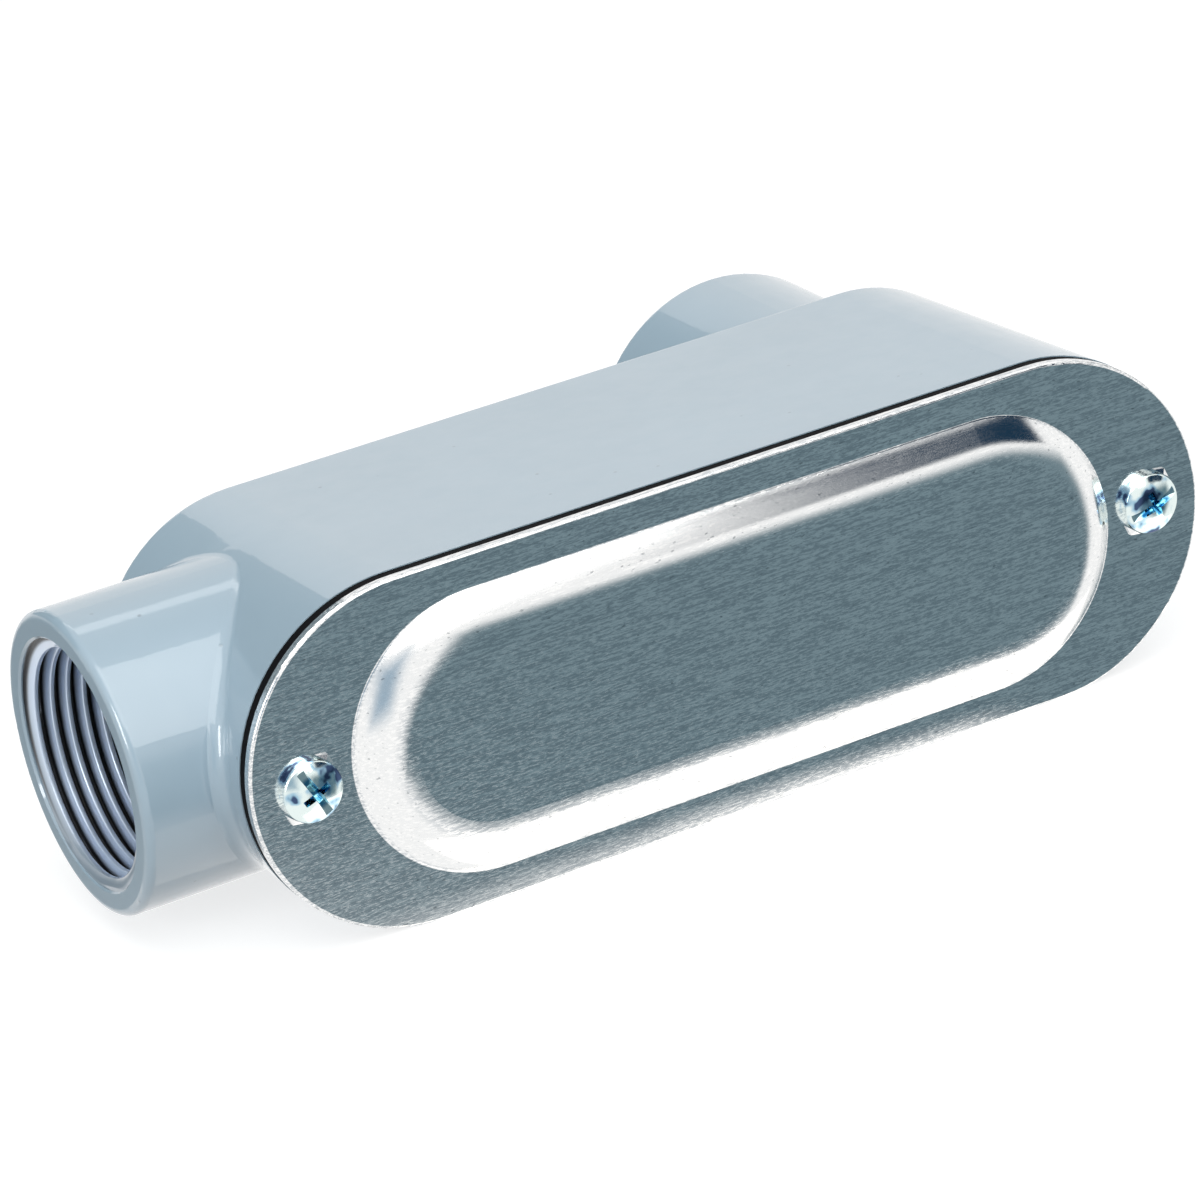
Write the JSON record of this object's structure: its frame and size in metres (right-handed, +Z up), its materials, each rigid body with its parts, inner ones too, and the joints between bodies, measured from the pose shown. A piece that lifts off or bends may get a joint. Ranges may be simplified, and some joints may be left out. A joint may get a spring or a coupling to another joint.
{
  "type": "conduit body",
  "caption": "Die cast elbow conduit body with a threaded end hub, a threaded back hub and a gasketed stamped cover held by end screws.",
  "frame": {"origin": "centre of the end hub's mouth, on the hub's axis", "axes": "+X runs along the body from the end hub towards the closed end, the cover faces -Y, the back hub faces +Y, +Z is up"},
  "size_m": [0.1505, 0.0714, 0.0466],
  "materials": {
    "body_paint": "glossy light grey powder coat on cast aluminium",
    "gasket_rubber": "matt black sheet",
    "cover_sheet": "fine brushed sheet, bare",
    "screw_zinc": "bright blue-white zinc plate"
  },
  "bodies": {
    "root": {"conduit_body": "body_paint", "cover_gasket": "gasket_rubber", "cover": "cover_sheet", "cover_screw_left": "screw_zinc", "cover_screw_right": "screw_zinc"}
  },
  "joints": []
}
